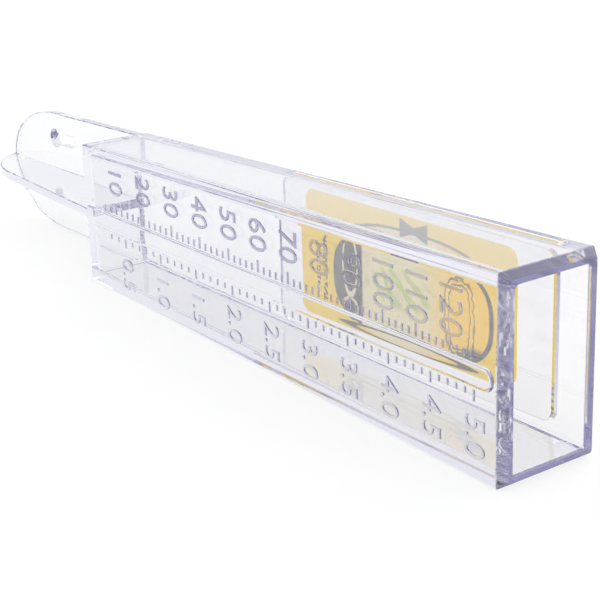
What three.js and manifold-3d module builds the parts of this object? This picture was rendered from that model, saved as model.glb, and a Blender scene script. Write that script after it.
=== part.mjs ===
// A direct-reading rain gauge, lying on its long narrow side.
// It is a clear tapered tube, open at the mouth and closed at the other end, with a flat
// hanging tab behind the closed end. The scales are raised on the wide front wall, and a
// printed label sits in a shallow pocket on the back wall.
//
// Gauge frame: X runs from the closed end (0) to the mouth, Y = 0 is the flat back face,
// the front is towards -Y, and Z runs across the width. The last group lays the gauge down
// so that its lower narrow side is flat on Z = 0. Everything is in millimetres.

import * as THREE from 'three';
import { mergeVertices } from 'three/addons/utils/BufferGeometryUtils.js';
import Module from 'manifold-3d';

const wasm = await Module();
wasm.setup();

// ---------- Driving dimensions ----------

// Tube: outside sizes at its two ends, and its walls.
const TUBE_LENGTH = 169;
const MOUTH_WIDTH = 44.8;
const MOUTH_DEPTH = 26.5;
const END_WIDTH = 38.8;
const END_DEPTH = 21.2;
const WALL = 2.6;
const BACK_WALL = 3.0;
const FLOOR_THICKNESS = 2.6;
const OUTER_CORNER = 0.6;
const INNER_CORNER = 1.2;

// Rim: the outside is bevelled so that rain is caught by a narrow edge.
const RIM_BEVEL_LENGTH = 2.1;
const RIM_BEVEL_INSET = 1.4;

// Hanging tab and its stiffening rib.
const TAB_LENGTH = 79;
const TAB_THICKNESS = 3.0;
const TAB_SHOULDER = 0.5;
const TAB_TIP_WIDTH = 36.4;
const TAB_ROUND_LENGTH = 30;
const TAB_EDGE_ROUND = 0.5;
const RIB_THICKNESS = 2.6;
const RIB_STRAIGHT_LENGTH = 57;
const RIB_FALL = 4.3;
const RIB_NOSE_BULGE = 13.5;
const RIB_NOSE_REACH = 3;
const RIB_EDGE_ROUND = 0.4;

// Keyhole, on one side of the rib, with its slot towards the tube.
const KEYHOLE_RADIUS = 3;
const KEYHOLE_FROM_TUBE = 49.7;
const KEYHOLE_FROM_RIB = 9.1;
const KEYHOLE_SLOT_WIDTH = 3.5;
const KEYHOLE_SLOT_LENGTH = 10;

// Pocket in the back wall, with a clear plate in it and the printed label behind the plate.
const POCKET_FROM_END = 67;
const POCKET_FROM_MOUTH = 9.6;
const POCKET_SIDE_LAND = 2.7;
const POCKET_RAMP = 0.2;
const POCKET_CORNER = 3;
const LAYER_GAP = 0.3;
const PLATE_THICKNESS = 0.8;
const PLATE_MARGIN_END = 1;
const PLATE_MARGIN_SIDE = 0.6;
const PLATE_CORNER = 2.5;
const LABEL_THICKNESS = 0.2;
const LABEL_BELOW_BACK = 0.1;
const POCKET_DEPTH = 2 * LAYER_GAP + PLATE_THICKNESS + LABEL_THICKNESS + LABEL_BELOW_BACK;
const LABEL_MARGIN_END = 7.5;
const LABEL_MARGIN_MOUTH = 10.8;
const LABEL_MARGIN_UPPER = 1.7;
const LABEL_MARGIN_LOWER = 4;
const LABEL_CORNER = 3;

// Raised bar between the two scales.
const BAR_WIDTH = 5.4;
const BAR_HEIGHT = 0.5;
const BAR_EDGE_ROUND = 0.25;
const BAR_FROM_END = 1.5;
const BAR_FROM_MOUTH = 2.6;

// Scale marks, raised on the front wall on both sides of the bar.
const MARK_WIDTH = 0.55;
const MARK_HEIGHT = 0.3;
const MARK_GAP = 0.35;
const MM_MARK_SHORT = 1.8;
const MM_MARK_LONG = 3.0;
const MM_MARK_STEP = 2;
const MM_MARK_FIRST = 6;
const MM_LONG_EVERY = 10;
const INCH = 25.4;
const INCH_MARK_SHORT = 1.4;
const INCH_MARK_LONG = 2.4;
const INCH_TENTHS_FIRST = 3;
const INCH_LONG_EVERY = 5;
const SCALE_FROM_MOUTH = 8.3;

// Small round gate mark on the back, behind the closed end.
const GATE_RADIUS = 1.35;
const GATE_DEPTH = 0.6;
const GATE_FROM_END = 2;

// How far a joined shape sinks into what it joins, and how far a cut runs past it.
const SINK = 0.6;
const OVERRUN = 1;
const ROUND_STEPS = 3;

// ---------- Sizes that follow from them ----------

const FRONT_SLOPE = (MOUTH_DEPTH - END_DEPTH) / TUBE_LENGTH;
const SIDE_SLOPE = (MOUTH_WIDTH - END_WIDTH) / 2 / TUBE_LENGTH;
const FRONT_ANGLE = Math.atan(FRONT_SLOPE);
const SIDE_ANGLE = Math.atan(SIDE_SLOPE);

const depthAt = (x) => END_DEPTH + FRONT_SLOPE * x;
const halfWidthAt = (x) => END_WIDTH / 2 + SIDE_SLOPE * x;

// ---------- Helpers ----------

// A closed geometry as a solid that can be joined and cut.
function solidFrom(geometry) {
  const bare = geometry.index ? geometry.toNonIndexed() : geometry.clone();
  bare.deleteAttribute('normal');
  bare.deleteAttribute('uv');
  const merged = mergeVertices(bare, 1e-4);
  const vertProperties = new Float32Array(merged.attributes.position.array);
  const triVerts = new Uint32Array(merged.index.array);
  return new wasm.Manifold(new wasm.Mesh({ numProp: 3, vertProperties, triVerts }));
}

// A solid back as a geometry.
function geometryFrom(solid) {
  const mesh = solid.getMesh();
  const geometry = new THREE.BufferGeometry();
  geometry.setAttribute('position', new THREE.BufferAttribute(mesh.vertProperties, 3));
  geometry.setIndex(new THREE.BufferAttribute(mesh.triVerts, 1));
  const flat = geometry.toNonIndexed();
  flat.computeVertexNormals();
  return flat;
}

// A rounded rectangle round (cx, cy), as a closed outline.
function roundedRectangle(cx, cy, width, height, radius) {
  const r = Math.min(radius, width / 2.01, height / 2.01);
  const left = cx - width / 2;
  const right = cx + width / 2;
  const bottom = cy - height / 2;
  const top = cy + height / 2;
  const shape = new THREE.Shape();
  shape.moveTo(left + r, bottom);
  shape.lineTo(right - r, bottom);
  shape.absarc(right - r, bottom + r, r, -Math.PI / 2, 0);
  shape.lineTo(right, top - r);
  shape.absarc(right - r, top - r, r, 0, Math.PI / 2);
  shape.lineTo(left + r, top);
  shape.absarc(left + r, top - r, r, Math.PI / 2, Math.PI);
  shape.lineTo(left, bottom + r);
  shape.absarc(left + r, bottom + r, r, Math.PI, 1.5 * Math.PI);
  return shape;
}

// A block through rounded rectangles that stand across X, one per station.
function loft(stations) {
  const positions = [];
  const index = [];
  const ringSize = 4 * (ROUND_STEPS + 1);
  for (const { x, front, back, half, radius } of stations) {
    const corners = [
      [back - radius, half - radius],
      [front + radius, half - radius],
      [front + radius, -half + radius],
      [back - radius, -half + radius],
    ];
    corners.forEach(([cy, cz], quarter) => {
      for (let i = 0; i <= ROUND_STEPS; i += 1) {
        const angle = (quarter + i / ROUND_STEPS) * (Math.PI / 2);
        positions.push(x, cy + radius * Math.cos(angle), cz + radius * Math.sin(angle));
      }
    });
  }
  for (let s = 0; s + 1 < stations.length; s += 1) {
    for (let i = 0; i < ringSize; i += 1) {
      const a = s * ringSize + i;
      const b = s * ringSize + ((i + 1) % ringSize);
      index.push(a, b, a + ringSize, b, b + ringSize, a + ringSize);
    }
  }
  const last = (stations.length - 1) * ringSize;
  for (let i = 1; i + 1 < ringSize; i += 1) {
    index.push(0, i + 1, i);
    index.push(last, last + i, last + i + 1);
  }
  const geometry = new THREE.BufferGeometry();
  geometry.setAttribute('position', new THREE.Float32BufferAttribute(positions, 3));
  geometry.setIndex(index);
  return solidFrom(geometry);
}

// A shape drawn in (x, z) and given a thickness along Y, from yLow up.
function plate(shape, yLow, thickness, edgeRound) {
  const geometry = new THREE.ExtrudeGeometry(shape, {
    depth: thickness - 2 * edgeRound,
    bevelEnabled: edgeRound > 0,
    bevelThickness: edgeRound,
    bevelSize: edgeRound,
    bevelOffset: -edgeRound,
    bevelSegments: 2,
    curveSegments: 20,
  });
  geometry.rotateX(Math.PI / 2);
  geometry.translate(0, yLow + thickness - edgeRound, 0);
  return geometry;
}

// Moves a geometry made on the plane Y = 0 onto the sloping front wall.
function ontoFrontWall(geometry) {
  geometry.rotateZ(-FRONT_ANGLE);
  geometry.translate(0, -END_DEPTH, 0);
  return geometry;
}

// ---------- The tube ----------

function tubeOutside() {
  const stations = [];
  const station = (x, inset) => ({
    x,
    front: -depthAt(x) + inset,
    back: -inset,
    half: halfWidthAt(x) - inset,
    radius: OUTER_CORNER,
  });
  for (let i = 0; i <= ROUND_STEPS; i += 1) {
    const angle = (i / ROUND_STEPS) * (Math.PI / 2);
    const inset = OUTER_CORNER * (1 - Math.sin(angle));
    stations.push(station(OUTER_CORNER * (1 - Math.cos(angle)), inset));
  }
  stations.push(station(TUBE_LENGTH - RIM_BEVEL_LENGTH, 0));
  stations.push(station(TUBE_LENGTH, RIM_BEVEL_INSET));
  return loft(stations);
}

function tubeInside() {
  const station = (x) => ({
    x,
    front: -depthAt(x) + WALL,
    back: -BACK_WALL,
    half: halfWidthAt(x) - WALL,
    radius: INNER_CORNER,
  });
  return loft([station(FLOOR_THICKNESS), station(TUBE_LENGTH + OVERRUN)]);
}

// ---------- Hanging tab ----------

function tabPlate() {
  const root = FLOOR_THICKNESS - 2 * TAB_EDGE_ROUND;
  const rootHalf = END_WIDTH / 2 - TAB_SHOULDER;
  const tipHalf = TAB_TIP_WIDTH / 2;
  const roundStart = -(TAB_LENGTH - TAB_ROUND_LENGTH);
  const shape = new THREE.Shape();
  shape.moveTo(root, -rootHalf);
  shape.lineTo(root, rootHalf);
  shape.lineTo(0, rootHalf);
  shape.lineTo(roundStart, tipHalf);
  shape.absellipse(roundStart, 0, TAB_ROUND_LENGTH, tipHalf, Math.PI / 2, 1.5 * Math.PI);
  shape.lineTo(0, -rootHalf);
  return solidFrom(plate(shape, -TAB_THICKNESS, TAB_THICKNESS, TAB_EDGE_ROUND));
}

// The rib stands on the middle of the tab. Its front edge carries on from the front wall.
function tabRib() {
  const root = FLOOR_THICKNESS - 2 * RIB_EDGE_ROUND;
  const buried = -TAB_THICKNESS / 2;
  const noseStart = -RIB_STRAIGHT_LENGTH;
  const frontAtNose = -(END_DEPTH - RIB_FALL);
  const tip = -TAB_LENGTH + RIB_EDGE_ROUND;
  const shape = new THREE.Shape();
  shape.moveTo(root, buried);
  shape.lineTo(tip, buried);
  shape.quadraticCurveTo(tip + RIB_NOSE_REACH, -RIB_NOSE_BULGE, noseStart, frontAtNose);
  shape.lineTo(0, -END_DEPTH + RIB_EDGE_ROUND);
  shape.lineTo(root, -END_DEPTH + RIB_EDGE_ROUND);
  const geometry = new THREE.ExtrudeGeometry(shape, {
    depth: RIB_THICKNESS - 2 * RIB_EDGE_ROUND,
    bevelEnabled: true,
    bevelThickness: RIB_EDGE_ROUND,
    bevelSize: RIB_EDGE_ROUND,
    bevelOffset: -RIB_EDGE_ROUND,
    bevelSegments: 2,
    curveSegments: 16,
  });
  geometry.translate(0, 0, -RIB_THICKNESS / 2 + RIB_EDGE_ROUND);
  return solidFrom(geometry);
}

// A round rod across the tab, for holes.
function crossRod(x, z, radius) {
  const geometry = new THREE.CylinderGeometry(radius, radius, TAB_THICKNESS + 2 * OVERRUN, 48);
  geometry.translate(x, -TAB_THICKNESS / 2, z);
  return solidFrom(geometry);
}

function keyhole() {
  const z = RIB_THICKNESS / 2 + KEYHOLE_FROM_RIB;
  const hole = crossRod(-KEYHOLE_FROM_TUBE, z, KEYHOLE_RADIUS);
  const slotEnd = crossRod(-KEYHOLE_FROM_TUBE + KEYHOLE_SLOT_LENGTH, z, KEYHOLE_SLOT_WIDTH / 2);
  const slotBox = new THREE.BoxGeometry(
    KEYHOLE_SLOT_LENGTH,
    TAB_THICKNESS + 2 * OVERRUN,
    KEYHOLE_SLOT_WIDTH,
  );
  slotBox.translate(-KEYHOLE_FROM_TUBE + KEYHOLE_SLOT_LENGTH / 2, -TAB_THICKNESS / 2, z);
  return hole.add(slotEnd).add(solidFrom(slotBox));
}

// ---------- Pocket, clear plate and label ----------

// The pocket's outline at the back face. Its half width leaves the side land at its narrower end.
const pocketStart = POCKET_FROM_END;
const pocketEnd = TUBE_LENGTH - POCKET_FROM_MOUTH;
const narrowerHalf = Math.min(halfWidthAt(pocketStart), halfWidthAt(pocketEnd));
const pocket = { start: pocketStart, end: pocketEnd, half: narrowerHalf - POCKET_SIDE_LAND };

function pocketCut() {
  const middle = (pocket.start + pocket.end) / 2;
  const shape = roundedRectangle(
    middle,
    0,
    pocket.end - pocket.start,
    2 * pocket.half,
    POCKET_CORNER,
  );
  const geometry = new THREE.ExtrudeGeometry(shape, {
    depth: OVERRUN,
    bevelThickness: POCKET_DEPTH,
    bevelSize: POCKET_RAMP,
    bevelOffset: -POCKET_RAMP,
    bevelSegments: 1,
    curveSegments: 8,
  });
  geometry.rotateX(-Math.PI / 2);
  return solidFrom(geometry);
}

// The clear plate stands clear of the pocket's floor and walls.
const labelPlate = {
  start: pocket.start + PLATE_MARGIN_END,
  end: pocket.end - PLATE_MARGIN_END,
  half: pocket.half - PLATE_MARGIN_SIDE,
  front: -POCKET_DEPTH + LAYER_GAP,
  back: -POCKET_DEPTH + LAYER_GAP + PLATE_THICKNESS,
};

function labelPlateGeometry() {
  const { start, end, half, front } = labelPlate;
  const shape = roundedRectangle((start + end) / 2, 0, end - start, 2 * half, PLATE_CORNER);
  return plate(shape, front, PLATE_THICKNESS, 0);
}

function labelGeometry() {
  const start = labelPlate.start + LABEL_MARGIN_END;
  const end = labelPlate.end - LABEL_MARGIN_MOUTH;
  const upper = labelPlate.half - LABEL_MARGIN_UPPER;
  const lower = -labelPlate.half + LABEL_MARGIN_LOWER;
  const middle = [(start + end) / 2, (upper + lower) / 2];
  const shape = roundedRectangle(...middle, end - start, upper - lower, LABEL_CORNER);
  return plate(shape, labelPlate.back + LAYER_GAP, LABEL_THICKNESS, 0);
}

// ---------- Scales on the front wall ----------

function scaleBar() {
  const start = BAR_FROM_END;
  const end = TUBE_LENGTH - BAR_FROM_MOUTH;
  const r = BAR_WIDTH / 2;
  const shape = new THREE.Shape();
  shape.moveTo(start, -r);
  shape.lineTo(end - r, -r);
  shape.absarc(end - r, 0, r, -Math.PI / 2, Math.PI / 2);
  shape.lineTo(start, r);
  const bar = plate(shape, -BAR_HEIGHT, BAR_HEIGHT + SINK, BAR_EDGE_ROUND);
  return solidFrom(ontoFrontWall(bar));
}

// Rain that stands in the tube up to x, as a depth of rain over the mouth.
// The inside tapers both ways, so the marks are closer together towards the mouth.
const insideWidth = (x) => 2 * (halfWidthAt(x) - WALL);
const insideDepth = (x) => depthAt(x) - WALL - BACK_WALL;
const catchArea = insideWidth(TUBE_LENGTH) * insideDepth(TUBE_LENGTH);

function rainUpTo(x) {
  const length = x - FLOOR_THICKNESS;
  const middle = (x + FLOOR_THICKNESS) / 2;
  const area = (at) => insideWidth(at) * insideDepth(at);
  return ((area(FLOOR_THICKNESS) + 4 * area(middle) + area(x)) * length) / 6 / catchArea;
}

function placeOfRain(rain) {
  let low = FLOOR_THICKNESS;
  let high = TUBE_LENGTH;
  for (let i = 0; i < 40; i += 1) {
    const middle = (low + high) / 2;
    if (rainUpTo(middle) < rain) low = middle;
    else high = middle;
  }
  return (low + high) / 2;
}

// One raised mark, reaching outwards from the bar; side is +1 or -1 across the width.
function mark(rain, length, side) {
  const x = placeOfRain(rain);
  const geometry = new THREE.BoxGeometry(MARK_WIDTH, MARK_HEIGHT + SINK, length);
  const z = side * (BAR_WIDTH / 2 + MARK_GAP + length / 2);
  geometry.translate(x / Math.cos(FRONT_ANGLE), (SINK - MARK_HEIGHT) / 2, z);
  return solidFrom(ontoFrontWall(geometry));
}

// Both scales run as far as the tube holds rain below their upper end.
function scaleMarks() {
  const fullScale = rainUpTo(TUBE_LENGTH - SCALE_FROM_MOUTH);
  const marks = [];
  for (let rain = MM_MARK_FIRST; rain <= fullScale; rain += MM_MARK_STEP) {
    const long = rain % MM_LONG_EVERY === 0;
    marks.push(mark(rain, long ? MM_MARK_LONG : MM_MARK_SHORT, 1));
  }
  const fullTenths = (fullScale / INCH) * 10;
  for (let tenths = INCH_TENTHS_FIRST; tenths <= fullTenths; tenths += 1) {
    const long = tenths % INCH_LONG_EVERY === 0;
    marks.push(mark((tenths * INCH) / 10, long ? INCH_MARK_LONG : INCH_MARK_SHORT, -1));
  }
  return marks;
}

// ---------- The moulding ----------

function gateMark() {
  const geometry = new THREE.CylinderGeometry(GATE_RADIUS, GATE_RADIUS, 2 * GATE_DEPTH, 24);
  geometry.translate(GATE_FROM_END, 0, 0);
  return solidFrom(geometry);
}

function mouldingGeometry() {
  let body = tubeOutside().add(tabPlate()).add(tabRib()).add(scaleBar());
  for (const raised of scaleMarks()) body = body.add(raised);
  body = body.subtract(tubeInside());
  body = body.subtract(pocketCut());
  body = body.subtract(keyhole());
  body = body.subtract(gateMark());
  return geometryFrom(body);
}

// ---------- Assembly ----------

function named(name, geometry, material) {
  const mesh = new THREE.Mesh(geometry, material);
  mesh.name = name;
  return mesh;
}

const clearPlastic = new THREE.MeshStandardMaterial({
  color: 0xe6e6ee,
  roughness: 0.08,
  metalness: 0,
  transparent: true,
  opacity: 0.45,
});
const printedFilm = new THREE.MeshStandardMaterial({
  color: 0xf0bd32,
  roughness: 0.45,
  metalness: 0,
});

// The gauge frame is moved so that the middle of the lower narrow side is at the origin,
// and then turned by the slope of that side, which lays it flat on Z = 0.
const gauge = new THREE.Group();
gauge.position.set(-TUBE_LENGTH / 2, depthAt(TUBE_LENGTH / 2) / 2, halfWidthAt(TUBE_LENGTH / 2));
gauge.add(named('gauge_body', mouldingGeometry(), clearPlastic));
gauge.add(named('label_plate', labelPlateGeometry(), clearPlastic));
gauge.add(named('back_label', labelGeometry(), printedFilm));

const lying = new THREE.Group();
lying.rotation.y = -SIDE_ANGLE;
lying.add(gauge);

export default lying;
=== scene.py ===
# %% [markdown]
# # A clear rain gauge, lying on its side
# The real object is one clear plastic moulding, a tapered tube with a hanging tab. In a pocket on
# its back lie a clear plate and, behind the plate, a yellow label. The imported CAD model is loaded
# as a frame, which gives the place and the outer size, and the finely finished pieces are then
# made to fit it.

# %% Load the frame
import math

import bmesh
import bpy
from mathutils import Matrix, Vector


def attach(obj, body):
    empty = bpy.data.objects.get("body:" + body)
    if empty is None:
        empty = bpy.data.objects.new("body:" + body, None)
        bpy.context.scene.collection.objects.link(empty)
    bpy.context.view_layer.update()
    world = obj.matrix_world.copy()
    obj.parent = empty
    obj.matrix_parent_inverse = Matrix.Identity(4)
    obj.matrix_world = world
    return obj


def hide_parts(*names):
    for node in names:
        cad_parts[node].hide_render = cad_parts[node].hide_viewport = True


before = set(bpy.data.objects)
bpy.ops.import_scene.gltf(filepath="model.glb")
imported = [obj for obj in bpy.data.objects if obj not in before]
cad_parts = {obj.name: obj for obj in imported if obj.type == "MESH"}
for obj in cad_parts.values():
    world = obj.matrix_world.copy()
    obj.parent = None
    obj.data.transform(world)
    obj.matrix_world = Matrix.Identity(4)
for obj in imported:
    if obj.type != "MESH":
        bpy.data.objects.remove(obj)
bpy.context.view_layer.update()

# %% [markdown]
# ## The gauge's own frame
# A gauge is easiest to draw standing square: X runs from the closed end to the mouth, Y = 0 is the
# flat back with the front towards -Y, and Z runs across the width. Each piece is drawn there and
# only then laid down, so that its lower side is flat on the floor.

# %% Sizes of the tube
MM = 0.001
TUBE_LENGTH = 169 * MM
MOUTH_WIDTH = 44.8 * MM
MOUTH_DEPTH = 26.5 * MM
END_WIDTH = 38.8 * MM
END_DEPTH = 21.2 * MM
WALL = 2.6 * MM
BACK_WALL = 3.0 * MM
FLOOR_THICKNESS = 2.6 * MM
FRONT_SLOPE = (MOUTH_DEPTH - END_DEPTH) / TUBE_LENGTH
SIDE_SLOPE = (MOUTH_WIDTH - END_WIDTH) / 2 / TUBE_LENGTH


def depth_at(x):
    return END_DEPTH + FRONT_SLOPE * x


def half_width_at(x):
    return END_WIDTH / 2 + SIDE_SLOPE * x


middle = TUBE_LENGTH / 2
to_middle = Matrix.Translation((-middle, depth_at(middle) / 2, half_width_at(middle)))
laid_down = Matrix.Rotation(-math.atan(SIDE_SLOPE), 4, "Y") @ to_middle
print("the gauge is turned by", round(math.degrees(math.atan(SIDE_SLOPE)), 2), "degrees")

# %% [markdown]
# ## Helpers for modelling by hand
# Blender's operators act on whatever is selected, so each helper first says exactly what that is.
# In edit mode the parts to work on are picked by their place or direction.

# %% Helpers for objects


def only(piece):
    bpy.ops.object.select_all(action="DESELECT")
    piece.select_set(True)
    bpy.context.view_layer.objects.active = piece


def keep_place(piece):
    only(piece)
    bpy.ops.object.transform_apply(location=True, rotation=True, scale=True)


def block(name, low, high):
    low, high = Vector(low), Vector(high)
    bpy.ops.object.select_all(action="DESELECT")
    bpy.ops.mesh.primitive_cube_add(size=1, location=(low + high) / 2, scale=high - low)
    piece = bpy.context.object
    piece.name = name
    keep_place(piece)
    return piece


def placed(piece, matrix):
    piece.matrix_world = matrix
    bpy.context.view_layer.update()
    keep_place(piece)


def joined(pieces, name):
    bpy.ops.object.select_all(action="DESELECT")
    for piece in pieces:
        piece.select_set(True)
    bpy.context.view_layer.objects.active = pieces[0]
    bpy.ops.object.join()
    pieces[0].name = name
    return pieces[0]


# %% Helpers for edit mode


def begin_edit(piece):
    only(piece)
    bpy.ops.object.mode_set(mode="EDIT")
    bpy.ops.mesh.select_all(action="DESELECT")


def end_edit():
    bpy.ops.object.mode_set(mode="OBJECT")


def pick(piece, kind, test):
    """Selects the corners, edges or faces of the piece being edited for which test is true."""
    bpy.ops.mesh.select_mode(type={"verts": "VERT", "edges": "EDGE", "faces": "FACE"}[kind])
    bpy.ops.mesh.select_all(action="DESELECT")
    mesh = bmesh.from_edit_mesh(piece.data)
    for part in getattr(mesh, kind):
        part.select_set(test(part))
    mesh.select_flush_mode()
    bmesh.update_edit_mesh(piece.data)


def run(edge):
    """How far an edge goes along X, Y and Z."""
    step = edge.verts[1].co - edge.verts[0].co
    return Vector((abs(step.x), abs(step.y), abs(step.z)))


def centre(part):
    return sum((corner.co for corner in part.verts), Vector()) / len(part.verts)


def grow(scale, about):
    bpy.ops.transform.resize(value=scale, center_override=about)


def extrude(step):
    bpy.ops.mesh.extrude_region_move(TRANSFORM_OT_translate={"value": step})


def round_edges(width, segments):
    bpy.ops.mesh.bevel(offset=width, offset_type="OFFSET", segments=segments, profile=0.5)


# %% Helpers for adding and cutting solids


def combine(body, tool, operation):
    only(body)
    modifier = body.modifiers.new(operation.lower(), "BOOLEAN")
    modifier.operation = operation
    modifier.solver = "MANIFOLD"
    modifier.object = tool
    bpy.ops.object.modifier_apply(modifier=modifier.name)
    bpy.data.objects.remove(tool)


def add_to(body, tool):
    combine(body, tool, "UNION")


def cut_from(body, tool):
    combine(body, tool, "DIFFERENCE")


# %% [markdown]
# ## The tube
# The outside and the inside are two tapered blocks, and cutting one from the other leaves the
# walls. The outside ends in a bevel round the mouth, so that rain is caught by a narrow edge.

# %% The tapered block
TINY = 0.01 * MM


def tapered_block(name, start, end, back, depths, halves):
    piece = block(name, (start, back - depths[0], -halves[0]), (end, back, halves[0]))
    begin_edit(piece)
    pick(piece, "verts", lambda corner: corner.co.x > end - TINY)
    grow((1, depths[1] / depths[0], halves[1] / halves[0]), (end, back, 0))
    end_edit()
    return piece


# %% Outside of the tube
OUTER_CORNER = 0.6 * MM
RIM_BEVEL_LENGTH = 2.1 * MM
RIM_BEVEL_INSET = 1.4 * MM
RIM_CREST = 0.25 * MM

bevel_start = TUBE_LENGTH - RIM_BEVEL_LENGTH
rim_depth = depth_at(bevel_start)
rim_half = half_width_at(bevel_start)
body = tapered_block(
    "clear_moulding", 0, bevel_start, 0, (END_DEPTH, rim_depth), (END_WIDTH / 2, rim_half)
)
begin_edit(body)
pick(body, "faces", lambda face: face.normal.x > 0.9)
extrude((RIM_BEVEL_LENGTH, 0, 0))
shrink_depth = 1 - 2 * RIM_BEVEL_INSET / rim_depth
shrink_width = 1 - RIM_BEVEL_INSET / rim_half
grow((1, shrink_depth, shrink_width), (TUBE_LENGTH, -rim_depth / 2, 0))
pick(body, "edges", lambda edge: run(edge).x > RIM_BEVEL_LENGTH / 2 or centre(edge).x < TINY)
round_edges(OUTER_CORNER, 3)
pick(
    body, "edges", lambda edge: abs(centre(edge).x - bevel_start) < TINY and run(edge).x < TINY
)
round_edges(RIM_CREST, 2)
end_edit()
print("outside of the tube:", len(body.data.polygons), "faces")

# %% [markdown]
# The inside is drawn as the solid shape of the hollow. It could be left as open walls, but a solid
# that is cut away later keeps the moulding closed. It runs past the mouth, so that the cut is
# clean, and its rounded edges become the rounded inner corners.

# %% Inside of the tube, for cutting later
INNER_CORNER = 1.2 * MM
OVERRUN = 1 * MM


def inside_sizes(x):
    return depth_at(x) - WALL - BACK_WALL, half_width_at(x) - WALL


near, far = inside_sizes(FLOOR_THICKNESS), inside_sizes(TUBE_LENGTH + OVERRUN)
tube_inside = tapered_block(
    "tube_inside",
    FLOOR_THICKNESS,
    TUBE_LENGTH + OVERRUN,
    -BACK_WALL,
    (near[0], far[0]),
    (near[1], far[1]),
)
begin_edit(tube_inside)
pick(tube_inside, "edges", lambda edge: centre(edge).x < TUBE_LENGTH)
round_edges(INNER_CORNER, 5)
end_edit()
print("inside of the tube:", len(tube_inside.data.polygons), "faces")

# %% [markdown]
# ## The hanging tab and its rib
# The tab carries on from the flat back and ends in half an ellipse. A disc is flattened and cut in
# half for that end, and its straight edge is extruded back to the tube.

# %% The tab
TAB_LENGTH = 79 * MM
TAB_THICKNESS = 3.0 * MM
TAB_SHOULDER = 0.5 * MM
TAB_TIP_HALF = 18.2 * MM
TAB_ROUND_LENGTH = 30 * MM
TAB_EDGE_ROUND = 0.5 * MM
TIP_CORNERS = 240

round_start = -(TAB_LENGTH - TAB_ROUND_LENGTH)
root_half = END_WIDTH / 2 - TAB_SHOULDER
bpy.ops.object.select_all(action="DESELECT")
bpy.ops.mesh.primitive_circle_add(
    vertices=TIP_CORNERS,
    radius=TAB_TIP_HALF,
    fill_type="NGON",
    location=(round_start, -TAB_THICKNESS, 0),
    rotation=(math.radians(90), 0, 0),
)
tab = bpy.context.object
tab.name = "tab"
keep_place(tab)
begin_edit(tab)
bpy.ops.mesh.select_all(action="SELECT")
grow((TAB_ROUND_LENGTH / TAB_TIP_HALF, 1, 1), (round_start, 0, 0))
bpy.ops.mesh.bisect(
    plane_co=(round_start, 0, 0), plane_no=(1, 0, 0), clear_outer=True, threshold=TINY / 100
)
pick(
    tab,
    "edges",
    lambda edge: centre(edge).x > round_start - TINY and run(edge).z > TAB_TIP_HALF,
)
extrude((-round_start, 0, 0))
grow((1, 1, root_half / TAB_TIP_HALF), (0, -TAB_THICKNESS, 0))
extrude((FLOOR_THICKNESS / 2, 0, 0))
bpy.ops.mesh.select_all(action="SELECT")
extrude((0, TAB_THICKNESS, 0))
bpy.ops.mesh.select_all(action="SELECT")
bpy.ops.mesh.normals_make_consistent(inside=False)


def is_rim(edge, along):
    """A sharp edge that stays in one plane across the given direction."""
    return run(edge)[along] < TINY / 10 and edge.calc_face_angle(0) > 1


pick(tab, "edges", lambda edge: is_rim(edge, 1) and centre(edge).x < -TINY)
round_edges(TAB_EDGE_ROUND, 3)
end_edit()
print("tab:", len(tab.data.polygons), "faces")

# %% [markdown]
# The rib stands on the middle of the tab and its front edge carries on from the front wall. Its
# nose is a curve, so its end edge is extruded in small steps, each as tall as the curve is there.

# %% The rib
RIB_THICKNESS = 2.6 * MM
RIB_STRAIGHT_LENGTH = 57 * MM
RIB_FALL = 4.3 * MM
RIB_NOSE_BULGE = 13.5 * MM
RIB_NOSE_REACH = 3 * MM
RIB_EDGE_ROUND = 0.4 * MM
NOSE_STEPS = 36

rib_foot = -TAB_THICKNESS / 2
nose_front = -(END_DEPTH - RIB_FALL)
rib = block(
    "rib",
    (-RIB_STRAIGHT_LENGTH, -END_DEPTH, -RIB_THICKNESS / 2),
    (0, rib_foot, RIB_THICKNESS / 2),
)


def along_nose(t):
    """The place on the nose's curve, from its start on the straight edge (0) to the tip (1)."""
    tip = -TAB_LENGTH + RIB_EDGE_ROUND
    x = (1 - t) ** 2 * -RIB_STRAIGHT_LENGTH + 2 * t * (1 - t) * (tip + RIB_NOSE_REACH) + t**2 * tip
    y = (1 - t) ** 2 * nose_front - 2 * t * (1 - t) * RIB_NOSE_BULGE + t**2 * rib_foot
    return x, y


begin_edit(rib)
pick(rib, "verts", lambda corner: corner.co.x < -TINY and corner.co.y < -END_DEPTH / 2)
bpy.ops.transform.translate(value=(0, RIB_FALL, 0))
pick(rib, "faces", lambda face: face.normal.x > 0.9)
extrude((FLOOR_THICKNESS / 2, 0, 0))
pick(rib, "faces", lambda face: face.normal.x < -0.9)
x, y = along_nose(0)
for step in range(1, NOSE_STEPS):
    next_x, next_y = along_nose(step / NOSE_STEPS)
    extrude((next_x - x, 0, 0))
    grow((1, (rib_foot - next_y) / (rib_foot - y), 1), (next_x, rib_foot, 0))
    x, y = next_x, next_y
pick(rib, "edges", lambda edge: is_rim(edge, 2) and centre(edge).y < rib_foot - TINY)
round_edges(RIB_EDGE_ROUND, 3)
end_edit()
print("rib:", len(rib.data.polygons), "faces")

# %% [markdown]
# ## Raised detail on the front wall
# The bar, the marks and the figures are drawn lying on a flat wall, with Y = 0 as its surface, and
# then all tilted together onto the sloping wall. They reach a little into the wall, so that the
# plastic is one solid when they are added.

# %% The bar between the scales
BAR_WIDTH = 5.4 * MM
BAR_HEIGHT = 0.5 * MM
BAR_EDGE_ROUND = 0.9 * MM
BAR_FROM_END = 1.5 * MM
BAR_FROM_MOUTH = 2.6 * MM
SINK = 0.6 * MM

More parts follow.
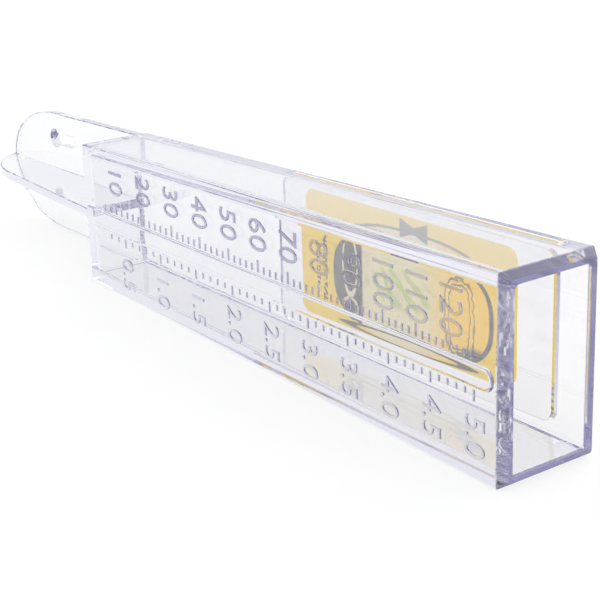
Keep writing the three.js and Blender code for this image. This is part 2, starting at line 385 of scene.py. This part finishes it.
bar_end = TUBE_LENGTH - BAR_FROM_MOUTH
bar = block(
    "bar", (BAR_FROM_END, -BAR_HEIGHT, -BAR_WIDTH / 2), (bar_end, SINK, BAR_WIDTH / 2)
)
begin_edit(bar)
pick(bar, "edges", lambda edge: run(edge).y > TINY and centre(edge).x > bar_end - TINY)
round_edges(BAR_WIDTH / 2 - TINY, 16)
pick(bar, "edges", lambda edge: is_rim(edge, 1) and centre(edge).y < -BAR_HEIGHT + TINY)
round_edges(BAR_EDGE_ROUND, 10)
end_edit()

# %% [markdown]
# The tube widens towards its mouth, so equal amounts of rain stand closer together there. The rain
# up to a place is the water below it, spread over the mouth, and each mark's place is found by
# halving the tube until the rain there is right.

# %% Where rain stands in the tube


def water_area(x):
    depth, half = inside_sizes(x)
    return depth * 2 * half


def rain_up_to(x):
    half_way = (x + FLOOR_THICKNESS) / 2
    mean = (water_area(FLOOR_THICKNESS) + 4 * water_area(half_way) + water_area(x)) / 6
    return mean * (x - FLOOR_THICKNESS) / water_area(TUBE_LENGTH)


def place_of_rain(rain):
    low, high = FLOOR_THICKNESS, TUBE_LENGTH
    for _ in range(40):
        half_way = (low + high) / 2
        if rain_up_to(half_way) < rain:
            low = half_way
        else:
            high = half_way
    return low


print("100 mm of rain stands at", round(place_of_rain(100 * MM) / MM, 1), "mm")

# %% [markdown]
# Every mark of a length is a copy of one small block with softened upper edges. The millimetre
# marks stand on one side of the bar and the tenths of an inch on the other, and each scale ends
# where the rain would come too close to the mouth.

# %% The marks of both scales
MARK_WIDTH = 0.55 * MM
MARK_HEIGHT = 0.3 * MM
MARK_GAP = 0.35 * MM
MARK_EDGE_ROUND = 0.14 * MM
INCH = 25.4 * MM
SCALE_FROM_MOUTH = 8.3 * MM
MM_FIRST, MM_STEP, MM_LONG_EVERY = 6, 2, 10
MM_SHORT, MM_LONG = 1.8 * MM, 3.0 * MM
TENTHS_FIRST, TENTHS_LONG_EVERY = 3, 5
TENTHS_SHORT, TENTHS_LONG = 1.4 * MM, 2.4 * MM
full_scale = rain_up_to(TUBE_LENGTH - SCALE_FROM_MOUTH)


def mark_of_length(length):
    pattern = block(
        "mark", (-MARK_WIDTH / 2, -MARK_HEIGHT, -length / 2), (MARK_WIDTH / 2, SINK, length / 2)
    )
    begin_edit(pattern)
    pick(pattern, "edges", lambda edge: centre(edge).y < -MARK_HEIGHT + TINY)
    round_edges(MARK_EDGE_ROUND, 2)
    end_edit()
    return pattern


def copy_of(pattern, place):
    copy = pattern.copy()
    copy.data = pattern.data.copy()
    copy.location = place
    bpy.context.scene.collection.objects.link(copy)
    return copy


def scale_marks(rains, is_long, short_length, long_length, side):
    short_mark, long_mark = mark_of_length(short_length), mark_of_length(long_length)
    marks = []
    for number, rain in rains:
        length = long_length if is_long(number) else short_length
        z = side * (BAR_WIDTH / 2 + MARK_GAP + length / 2)
        pattern = long_mark if is_long(number) else short_mark
        marks.append(copy_of(pattern, (place_of_rain(rain), 0, z)))
    bpy.data.objects.remove(short_mark)
    bpy.data.objects.remove(long_mark)
    return marks


last_mm, last_tenth = int(full_scale / MM), int(full_scale / INCH * 10)
millimetres = [(n, n * MM) for n in range(MM_FIRST, last_mm + 1, MM_STEP)]
tenths = [(n, n * INCH / 10) for n in range(TENTHS_FIRST, last_tenth + 1)]
mm_marks = scale_marks(millimetres, lambda n: n % MM_LONG_EVERY == 0, MM_SHORT, MM_LONG, 1)
inch_marks = scale_marks(
    tenths, lambda n: n % TENTHS_LONG_EVERY == 0, TENTHS_SHORT, TENTHS_LONG, -1
)
print(len(mm_marks), "millimetre marks and", len(inch_marks), "inch marks")

# %% [markdown]
# Each figure is a text object, made a mesh, with its letters read down the width and their tops
# towards the mouth. A thin bevel gives the raised strokes the soft edges of a moulded figure.

# %% The figures
FIGURE_HEIGHT = 0.3 * MM
FIGURE_EDGE_ROUND = 0.15 * MM
FIGURE_SHARE = 0.69
MM_FIGURE_Z, MM_FIGURE_TALL, MM_FIGURE_SQUEEZE = 12.2 * MM, 6.8 * MM, 0.84
MM_FIGURE_STEP, MM_FIGURE_LAST = 10, 120
INCH_FIGURE_Z, INCH_FIGURE_TALL, INCH_FIGURE_SQUEEZE = -13.0 * MM, 5.8 * MM, 0.93
INCH_FIGURE_LAST = 5
read_down_the_width = Matrix(((0, 1, 0, 0), (0, 0, -1, 0), (-1, 0, 0, 0), (0, 0, 0, 1)))


def figure(words, x, z, tall, squeeze):
    """Raised words, centred at x and z on the wall. A figure takes FIGURE_SHARE of its type size."""
    bpy.ops.object.select_all(action="DESELECT")
    bpy.ops.object.text_add()
    piece = bpy.context.object
    letters = piece.data
    letters.body = words
    letters.align_x = "CENTER"
    letters.align_y = "CENTER"
    letters.size = tall / FIGURE_SHARE
    letters.resolution_u = 5
    face_height = (FIGURE_HEIGHT + SINK) / 2
    letters.extrude = face_height
    bpy.ops.object.convert(target="MESH")
    piece = bpy.context.object
    begin_edit(piece)
    bpy.ops.mesh.select_all(action="SELECT")
    bpy.ops.mesh.remove_doubles(threshold=TINY / 10)
    bpy.ops.mesh.normals_make_consistent(inside=False)
    pick(piece, "edges", lambda edge: is_rim(edge, 2) and centre(edge).z > face_height - TINY)
    round_edges(FIGURE_EDGE_ROUND, 3)
    end_edit()
    middle_of_height = (SINK - FIGURE_HEIGHT) / 2
    squeezed = Matrix.Diagonal((squeeze, 1, 1, 1))
    placed(piece, Matrix.Translation((x, middle_of_height, z)) @ read_down_the_width @ squeezed)
    return piece


figures = []
for rain in range(MM_FIGURE_STEP, MM_FIGURE_LAST + 1, MM_FIGURE_STEP):
    x = place_of_rain(rain * MM)
    figures.append(figure(str(rain), x, MM_FIGURE_Z, MM_FIGURE_TALL, MM_FIGURE_SQUEEZE))
for halves in range(1, 2 * INCH_FIGURE_LAST + 1):
    inches = halves / 2
    x = place_of_rain(inches * INCH)
    words = f"{inches:.1f}"
    figures.append(figure(words, x, INCH_FIGURE_Z, INCH_FIGURE_TALL, INCH_FIGURE_SQUEEZE))
print(len(figures), "figures, the last", [round(v / MM, 1) for v in figures[-1].dimensions])

# %% [markdown]
# The front wall slopes, so the detail is joined and turned once instead of piece by piece. Two
# finishes are set up here as empty slots: a clear one for the walls, and a slightly rough one for
# the raised detail and the mouth's rim, where a polished surface looks too busy.

# %% Tilt the raised detail onto the front wall
CLEAR, FROSTED = 0, 1


def give_slots(piece, filled):
    """Two empty slots, clear and frosted, and every face in the filled one."""
    piece.data.materials.clear()
    piece.data.materials.append(clear_finish)
    piece.data.materials.append(frosted_finish)
    for face in piece.data.polygons:
        face.material_index = filled


clear_finish = bpy.data.materials.new("clear_polystyrene")
frosted_finish = bpy.data.materials.new("frosted_polystyrene")
for piece in mm_marks + inch_marks + figures:
    give_slots(piece, FROSTED)
for piece in (bar, body, tab, rib, tube_inside):
    give_slots(piece, CLEAR)
for face in body.data.polygons:
    if face.center.x > bevel_start:
        face.material_index = FROSTED
raised = joined([bar] + mm_marks + inch_marks + figures, "raised_detail")
keep_place(raised)
onto_front_wall = Matrix.Translation((0, -END_DEPTH, 0)) @ Matrix.Rotation(
    -math.atan(FRONT_SLOPE), 4, "Z"
)
placed(raised, onto_front_wall)
print("raised detail:", len(raised.data.polygons), "faces")

# %% [markdown]
# ## Holes and hollows
# The back has a pocket for the plate and the label. Its walls lean out a little, so that the
# mould can let go of it, so its floor is made slightly smaller than its opening.

# %% The label pocket, for cutting later
POCKET_START = 67 * MM
POCKET_FROM_MOUTH = 9.6 * MM
POCKET_SIDE_LAND = 2.7 * MM
POCKET_END = TUBE_LENGTH - POCKET_FROM_MOUTH
POCKET_HALF = half_width_at(POCKET_START) - POCKET_SIDE_LAND
POCKET_DEPTH = 1.7 * MM
POCKET_RAMP = 0.2 * MM
POCKET_CORNER = 3 * MM

pocket_length = POCKET_END - POCKET_START
pocket = block(
    "pocket", (POCKET_START, -POCKET_DEPTH, -POCKET_HALF), (POCKET_END, 0, POCKET_HALF)
)
begin_edit(pocket)
pick(pocket, "edges", lambda edge: run(edge).y > TINY)
round_edges(POCKET_CORNER, 8)
pick(pocket, "faces", lambda face: face.normal.y < -0.9)
grow(
    (1 - 2 * POCKET_RAMP / pocket_length, 1, 1 - POCKET_RAMP / POCKET_HALF),
    ((POCKET_START + POCKET_END) / 2, 0, 0),
)
pick(pocket, "faces", lambda face: face.normal.y > 0.9)
extrude((0, OVERRUN, 0))
end_edit()
print("pocket:", round(pocket_length / MM, 1), "x", round(2 * POCKET_HALF / MM, 1), "mm")

# %% [markdown]
# The tab has a keyhole beside the rib: a round hole for a screw's head, and a slot towards the
# tube that its shank slides into. The gate mark is the small round dent where the plastic entered
# the mould. Both are rods and blocks that run right through what they cut.

# %% The keyhole and the gate mark, for cutting later
KEYHOLE_X = -49.7 * MM
KEYHOLE_FROM_RIB = 9.1 * MM
KEYHOLE_Z = RIB_THICKNESS / 2 + KEYHOLE_FROM_RIB
KEYHOLE_RADIUS = 3 * MM
SLOT_HALF = 1.75 * MM
SLOT_LENGTH = 10 * MM
GATE_X = 2 * MM
GATE_RADIUS = 1.35 * MM
GATE_DEPTH = 0.6 * MM


def rod_along_y(name, x, z, radius, low, high):
    bpy.ops.object.select_all(action="DESELECT")
    bpy.ops.mesh.primitive_cylinder_add(
        vertices=64,
        radius=radius,
        depth=high - low,
        location=(x, (low + high) / 2, z),
        rotation=(math.radians(90), 0, 0),
    )
    rod = bpy.context.object
    rod.name = name
    keep_place(rod)
    return rod


hole = rod_along_y(
    "hole", KEYHOLE_X, KEYHOLE_Z, KEYHOLE_RADIUS, -TAB_THICKNESS - OVERRUN, OVERRUN
)
slot_end = KEYHOLE_X + SLOT_LENGTH + SLOT_HALF
slot = block(
    "slot",
    (KEYHOLE_X, -TAB_THICKNESS - 1.5 * OVERRUN, KEYHOLE_Z - SLOT_HALF),
    (slot_end, 1.5 * OVERRUN, KEYHOLE_Z + SLOT_HALF),
)
begin_edit(slot)
pick(slot, "edges", lambda edge: run(edge).y > TINY and centre(edge).x > slot_end - TINY)
round_edges(SLOT_HALF - TINY, 16)
end_edit()
gate = rod_along_y("gate", GATE_X, 0, GATE_RADIUS, -GATE_DEPTH, GATE_DEPTH)
print("keyhole", round(-KEYHOLE_X / MM, 1), "mm behind the tube")

# %% [markdown]
# Everything that adds plastic goes in first and every hollow is cut last, so that nothing added
# fills a hollow again. The faces stay flat-shaded: smoothed normals bend light wrongly on long
# thin faces, and clear plastic shows it as streaks.

# %% One moulding from all of them
for tool in (pocket, hole, slot, gate):
    give_slots(tool, CLEAR)
for part in (tab, rib, raised):
    add_to(body, part)
for hollow in (tube_inside, pocket, hole, slot, gate):
    cut_from(body, hollow)
only(body)
bpy.ops.object.shade_flat()
placed(body, laid_down)
print("clear moulding:", len(body.data.polygons), "faces")

# %% [markdown]
# ## The clear plate and the label
# A thin clear plate lies in the pocket with air round it, and the printed label is glued behind
# it. The air matters: light that runs inside the tube's wall never meets the label, so the rim
# stays violet, while light that enters the plate's own cut edges comes back yellow. Glue leaves
# no air between the plate and the label, so the label's face sinks a hair into the plate.

# %% The clear plate
PLATE_MARGIN_END = 1 * MM
PLATE_GAP_SIDE = 0.15 * MM
PLATE_GAP_FRONT = 0.05 * MM
PLATE_THICKNESS = 1.3 * MM
PLATE_CORNER = 2.5 * MM
PLATE_START = POCKET_START + PLATE_MARGIN_END
PLATE_END = POCKET_END - PLATE_MARGIN_END
PLATE_HALF = POCKET_HALF - POCKET_RAMP - PLATE_GAP_SIDE
PLATE_FRONT = -POCKET_DEPTH + PLATE_GAP_FRONT
PLATE_BACK = PLATE_FRONT + PLATE_THICKNESS

plate = block(
    "label_plate", (PLATE_START, PLATE_FRONT, -PLATE_HALF), (PLATE_END, PLATE_BACK, PLATE_HALF)
)
begin_edit(plate)
pick(plate, "edges", lambda edge: run(edge).y > TINY)
round_edges(PLATE_CORNER, 10)
end_edit()
give_slots(plate, CLEAR)
only(plate)
bpy.ops.object.shade_flat()
placed(plate, laid_down)
print("clear plate:", [round(side / MM, 1) for side in plate.dimensions])

# %% [markdown]
# The label is a block with round corners and barely softened edges, as thin as a printed film. It
# covers the plate's middle and leaves clear borders of different widths round it.

# %% The label
LABEL_MARGIN_END = 7.5 * MM
LABEL_MARGIN_MOUTH = 10.8 * MM
LABEL_MARGIN_UPPER = 1.95 * MM
LABEL_MARGIN_LOWER = 4.25 * MM
LABEL_CORNER = 3 * MM
LABEL_THICKNESS = 0.2 * MM
GLUED_IN = 0.03 * MM
LABEL_START = PLATE_START + LABEL_MARGIN_END
LABEL_END = PLATE_END - LABEL_MARGIN_MOUTH
LABEL_UPPER = PLATE_HALF - LABEL_MARGIN_UPPER
LABEL_LOWER = -PLATE_HALF + LABEL_MARGIN_LOWER
LABEL_FRONT = PLATE_BACK - GLUED_IN

label = block(
    "printed_label",
    (LABEL_START, LABEL_FRONT, LABEL_LOWER),
    (LABEL_END, LABEL_FRONT + LABEL_THICKNESS, LABEL_UPPER),
)
begin_edit(label)
pick(label, "edges", lambda edge: run(edge).y > TINY)
round_edges(LABEL_CORNER, 10)
pick(label, "edges", lambda edge: is_rim(edge, 1))
round_edges(LABEL_THICKNESS / 4, 2)
end_edit()
only(label)
bpy.ops.object.shade_smooth_by_angle(angle=math.radians(20))
placed(label, laid_down)
print("label:", [round(side / MM, 1) for side in label.dimensions])

# %% [markdown]
# ## Writing shaders as sums
# A shader is easier to read as a formula than as a web of nodes. `Wire` stands for one socket, so
# that two wires can be added or multiplied in Python, and `Finish.add` makes any other node.

# %% Shader helpers


class Wire:
    """One output of a shader node. Arithmetic on it adds the Math nodes that work it out."""

    def __init__(self, finish, socket):
        self.finish = finish
        self.socket = socket

    def math(self, operation, *values):
        inputs = dict(enumerate(values))
        return self.finish.add("ShaderNodeMath", {"operation": operation}, inputs)

    def __add__(self, other):
        return self.math("ADD", self, other)

    __radd__ = __add__

    def __sub__(self, other):
        return self.math("SUBTRACT", self, other)

    def __rsub__(self, other):
        return self.math("SUBTRACT", other, self)

    def __mul__(self, other):
        return self.math("MULTIPLY", self, other)

    __rmul__ = __mul__

    def __truediv__(self, other):
        return self.math("DIVIDE", self, other)

    def __abs__(self):
        return self.math("ABSOLUTE", self)

    def __pow__(self, other):
        return self.math("POWER", self, other)


class Finish:
    """A material being built."""

    def __init__(self, material):
        self.material = material
        self.material.use_nodes = True
        self.tree = self.material.node_tree
        self.surface = self.tree.nodes["Principled BSDF"]
        self.output = self.tree.nodes["Material Output"]

    def set(self, socket, value):
        if isinstance(value, Wire):
            self.tree.links.new(value.socket, socket)
        else:
            socket.default_value = value

    def add(self, kind, settings, inputs, output=0):
        node = self.tree.nodes.new(kind)
        for field, value in settings.items():
            setattr(node, field, value)
        for socket, value in inputs.items():
            self.set(node.inputs[socket], value)
        return Wire(self, node.outputs[output])

    def mix(self, factor, first, second):
        """Goes from the first colour to the second as the factor goes from 0 to 1."""
        settings = {"data_type": "RGBA", "clamp_factor": True}
        return self.add("ShaderNodeMix", settings, {0: factor, 6: first, 7: second}, 2)

    def band(self, value, low, high):
        """0 below low, 1 above high, and smooth between them."""
        settings = {"interpolation_type": "SMOOTHSTEP"}
        return self.add("ShaderNodeMapRange", settings, {0: value, 1: low, 2: high})

    def noise(self, place, scale, detail=2):
        inputs = {"Vector": place, "Scale": scale, "Detail": detail}
        return self.add("ShaderNodeTexNoise", {}, inputs)


def colour(red, green, blue):
    """A colour from its screen values of 0 to 255, with full alpha."""
    steps = [value / 255 for value in (red, green, blue)]
    return (*[v / 12.92 if v < 0.04045 else ((v + 0.055) / 1.055) ** 2.4 for v in steps], 1)


# %% [markdown]
# ## Clear plastic
# Clear polystyrene bends light more than water does, and has a faint violet tint that only shows
# where light runs a long way inside it. So most of the tint is in the volume, and the surface has
# only a slight grey tinge. Slow ripples and fine dust-like specks keep the walls from looking
# like perfect glass.

# %% The clear plastic
STYRENE_BENDING = 1.59
VIOLET = (0.52, 0.5, 0.74, 1)
VIOLET_DENSITY = 10
TINGE_DARK = (0.92, 0.92, 0.935, 1)
TINGE_LIGHT = (0.965, 0.965, 0.975, 1)


def moulded_plastic(material, smoothness, speck_roughness):
    """Clear plastic of the given roughness, which is greater where it has specks."""
    plastic = Finish(material)
    where = plastic.add("ShaderNodeTexCoord", {}, {}, "Object")
    ripples = plastic.noise(where, 40)
    specks = plastic.noise(where, 1400, 3)
    haze = plastic.band(specks, 0.62, 0.75)
    bump = plastic.add(
        "ShaderNodeBump", {}, {"Height": ripples, "Strength": 0.02, "Distance": 0.03 * MM}
    )
    tinge = plastic.mix(ripples, TINGE_DARK, TINGE_LIGHT)
    plastic.set(plastic.surface.inputs["Base Color"], tinge)
    plastic.set(
        plastic.surface.inputs["Roughness"], smoothness + (speck_roughness - smoothness) * haze
    )
    plastic.set(plastic.surface.inputs["Normal"], bump)
    plastic.surface.inputs["Transmission Weight"].default_value = 1
    plastic.surface.inputs["IOR"].default_value = STYRENE_BENDING
    tint = plastic.tree.nodes.new("ShaderNodeVolumeAbsorption")
    tint.inputs["Color"].default_value = VIOLET
    tint.inputs["Density"].default_value = VIOLET_DENSITY
    plastic.tree.links.new(tint.outputs[0], plastic.output.inputs["Volume"])


moulded_plastic(clear_finish, 0.01, 0.06)
moulded_plastic(frosted_finish, 0.13, 0.3)
print("plastic with", len(clear_finish.node_tree.nodes), "nodes")

# %% [markdown]
# ## Printed film
# The print is drawn from the label's own places: u runs along the gauge and v across it, both in
# millimetres. A mapping node undoes the way the gauge was laid down. Each shape is a mask between
# 0 and 1, and the colours are laid over each other like inks.

# %% The printed film's places and colours
film = Finish(bpy.data.materials.new("printed_film"))
where = film.add("ShaderNodeTexCoord", {}, {}, "Object")
tilt = math.atan(SIDE_SLOPE)
back_to_gauge = to_middle.inverted().translation / MM
upright = film.add(
    "ShaderNodeMapping",
    {},
    {"Vector": where, "Location": back_to_gauge, "Rotation": (0, tilt, 0), "Scale": (1 / MM,) * 3},
)
axes = film.tree.nodes.new("ShaderNodeSeparateXYZ")
film.set(axes.inputs[0], upright)
u, v = Wire(film, axes.outputs["X"]), Wire(film, axes.outputs["Z"])


def oval(centre_u, centre_v, half_u, half_v, power):
    """1 on the oval's edge, less inside it. A higher power makes it squarer."""
    across = abs((u - centre_u) / half_u) ** power
    return (across + abs((v - centre_v) / half_v) ** power) ** (1 / power)


def outline(shape, width):
    """A line along the shape's edge, with its width as a share of the shape's size."""
    return 1 - film.band(abs(shape - 1), width * 0.6, width)


YELLOW = colour(224, 194, 0)
DEEP_YELLOW = colour(229, 190, 0)
CREAM = colour(212, 204, 166)
GREEN = colour(176, 188, 112)
INK = colour(52, 48, 60)

# %% [markdown]
# The print is generic, in place of the maker's own. A panel, a squarish oval, takes up most of the
# label, cream at one end and deep yellow at the other, with leaves from a warped wave texture.

# %% The panel
PANEL_MIDDLE = 115
panel = oval(PANEL_MIDDLE, -0.5, 26.5, 12.5, 2.8)
inside_panel = 1 - film.band(panel, 0.97, 1.0)
paper = film.mix(film.band(u, 116, 134), CREAM, DEEP_YELLOW)
ink = film.mix(inside_panel, YELLOW, paper)

# %% The leaves
leaves = film.add(
    "ShaderNodeTexWave",
    {"wave_type": "BANDS", "bands_direction": "DIAGONAL"},
    {"Vector": upright, "Scale": 0.13, "Distortion": 9, "Detail": 3, "Detail Scale": 0.4},
    "Fac",
)
leaf_zone = 1 - film.band(oval(112, 0.5, 12.5, 5.5, 2), 0.7, 1.05)
ink = film.mix(leaf_zone * film.band(leaves, 0.4, 0.8), ink, GREEN)

# %% [markdown]
# Dark ink goes over the panel: its outline, a narrow ribbon under it, one end filled in round
# light scrolls, and a bow on top, whose height grows with the distance from its knot.

# %% The outline and the ribbon
RIBBON_TOP = -10.9
above_ribbon = film.band(v, RIBBON_TOP - 0.1, RIBBON_TOP + 0.1)
ink = film.mix(outline(panel, 0.032) * above_ribbon, ink, INK)
ribbon = outline(oval(PANEL_MIDDLE - 1, RIBBON_TOP - 1.2, 21, 1.1, 1.7), 0.2)
ink = film.mix(ribbon, ink, INK)

# %% The scrolled end and the bow
SCROLLS_END = 98.5
in_scrolls = 1 - film.band(u, SCROLLS_END - 0.4, SCROLLS_END + 0.4)
large_scroll = outline(oval(94, 2.5, 2.6, 7.5, 2), 0.14)
small_scroll = outline(oval(94, -8, 2.6, 2.2, 2), 0.2)
ink = film.mix(inside_panel * in_scrolls * (1 - large_scroll - small_scroll), ink, INK)
from_bow = abs(u - PANEL_MIDDLE)
bow_height = from_bow * 0.35 + 0.7
bow = 1 - film.band(abs(v - 12.6) - bow_height, -0.1, 0.1)
ink = film.mix(bow * (1 - film.band(from_bow, 4.6, 4.8)), ink, INK)

# %% [markdown]
# The badge is two ovals, one inside the other. Slow noise added to them makes their lines wander
# like drawn ones, and the same noise roughens the dark corner.

# %% The badge and the shaded corner
wander = (film.noise(upright, 0.45, 1) - 0.5) * 0.35
badge = oval(131.5, -1.2, 4.6, 8.8, 3.2) + wander
inner_badge = oval(131.5, -1.2, 3.4, 7.4, 3.2) + wander
ink = film.mix((outline(badge, 0.05) + outline(inner_badge, 0.05)) * 0.8, ink, INK)
corner = oval(137, -10.5, 6, 3.6, 2) + wander
corner_shade = inside_panel * (1 - film.band(corner, 0.55, 1.15))
ink = film.mix(corner_shade, ink, INK)

# %% [markdown]
# The small print is two columns of noise cut into dashes, so it has the look of words and no
# letters. Fine grain then wears all the inks a little. The film gives off some light of its own,
# which makes up for what is lost in the walls in front of it.

# %% The small print and the worn inks
words = film.noise(upright, 1.6, 1)
in_words = film.band(words, 0.48, 0.52)
for line_u, half_length in ((82.0, 5.5), (84.6, 8.5)):
    line = 1 - film.band(abs(u - line_u), 0.7, 0.8)
    ends = 1 - film.band(abs(v), half_length - 0.2, half_length)
    ink = film.mix(line * ends * in_words, ink, INK)
grain = film.noise(upright, 9, 3)
worn = film.mix(film.band(grain, 0.3, 0.9) * 0.12, ink, (1, 1, 1, 1))
film.set(film.surface.inputs["Base Color"], worn)
film.set(film.surface.inputs["Emission Color"], worn)
film.surface.inputs["Emission Strength"].default_value = 0.85
film.surface.inputs["Specular IOR Level"].default_value = 0.2
film.set(film.surface.inputs["Roughness"], 0.38 + 0.15 * grain)
film.set(
    film.surface.inputs["Normal"],
    film.add("ShaderNodeBump", {}, {"Height": grain, "Strength": 0.1, "Distance": 0.05 * MM}),
)
label.data.materials.clear()
label.data.materials.append(film.material)
print("film with", len(film.tree.nodes), "nodes")

# %% [markdown]
# ## The frame
# Each finished piece is tied to the CAD node it stands for. Nothing moves, so all ride on the
# root body.

# %% Tie the pieces to the frame
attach(body, "root")
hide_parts("gauge_body")
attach(plate, "root")
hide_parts("label_plate")
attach(label, "root")
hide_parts("back_label")

# %% [markdown]
# ## Floor, light and camera
# Clear plastic only shows what is round it, so it stands on a plain pale floor that gives off
# light, like a light table, under one even bright sky. The floor lies a hair lower than the gauge.

# %% The floor
FLOOR_SIZE = 8
FLOOR_DROP = 0.2 * MM
bpy.ops.object.select_all(action="DESELECT")
bpy.ops.mesh.primitive_plane_add(size=FLOOR_SIZE, location=(0, 0, -FLOOR_DROP))
floor = bpy.context.object
floor.name = "studio_floor"
paint = Finish(bpy.data.materials.new("pale_floor"))
floor_place = paint.add("ShaderNodeTexCoord", {}, {}, "Object")
speckle = paint.noise(floor_place, 60, 4)
paint.set(
    paint.surface.inputs["Base Color"],
    paint.mix(speckle, (0.21, 0.21, 0.213, 1), (0.25, 0.25, 0.25, 1)),
)
paint.surface.inputs["Roughness"].default_value = 0.9
paint.surface.inputs["Emission Color"].default_value = (1, 1, 1, 1)
paint.surface.inputs["Emission Strength"].default_value = 0.78
floor.data.materials.append(paint.material)
print("floor", FLOOR_SIZE, "m wide")

# %% [markdown]
# An even sky would leave clear edges dull, so two large soft lamps add bright lines along them:
# one over the back and a weaker one beside the camera, both aimed at the middle of the gauge.

# %% The light
world = bpy.data.worlds.new("studio_sky")
bpy.context.scene.world = world
world.use_nodes = True
sky = world.node_tree.nodes["Background"]
sky.inputs["Color"].default_value = (0.97, 0.98, 1.0, 1)
sky.inputs["Strength"].default_value = 0.98


def soft_lamp(name, place, target, size, power):
    data = bpy.data.lights.new(name, "AREA")
    data.shape = "DISK"
    data.size = size
    data.energy = power
    lamp = bpy.data.objects.new(name, data)
    lamp.location = place
    lamp.rotation_euler = (Vector(target) - Vector(place)).to_track_quat("-Z", "Y").to_euler()
    bpy.context.scene.collection.objects.link(lamp)


GAUGE_MIDDLE = (0, 0, 0.02)
soft_lamp("lamp_over_back", (-0.3, 0.9, 1.1), GAUGE_MIDDLE, 0.9, 2)
soft_lamp("lamp_by_camera", (0.9, -0.6, 0.9), GAUGE_MIDDLE, 0.6, 1)

# %% [markdown]
# The camera stands near the mouth, a little above the gauge, and looks along it. Its angles are
# in degrees. The Standard view keeps a white floor pure white.

# %% The camera
camera_data = bpy.data.cameras.new("camera")
camera_data.lens = 90.7  # millimetres
camera_data.sensor_width = 36
camera_data.clip_start = 0.01
camera = bpy.data.objects.new("camera", camera_data)
camera.location = (0.27347, -0.20398, 0.13387)
camera.rotation_euler = [math.radians(angle) for angle in (70.67, 1.234, 52.789)]
bpy.context.scene.collection.objects.link(camera)
bpy.context.scene.camera = camera
bpy.context.scene.view_settings.view_transform = "Standard"
print("camera", round((camera.location - Vector(GAUGE_MIDDLE)).length, 3), "m from the gauge")

# %% [markdown]
# Light is trapped between the walls many times before it leaves, so its path may be long.

# %% Long light paths
light_paths = bpy.context.scene.cycles
light_paths.max_bounces = 128
light_paths.transmission_bounces = 128
light_paths.glossy_bounces = 64
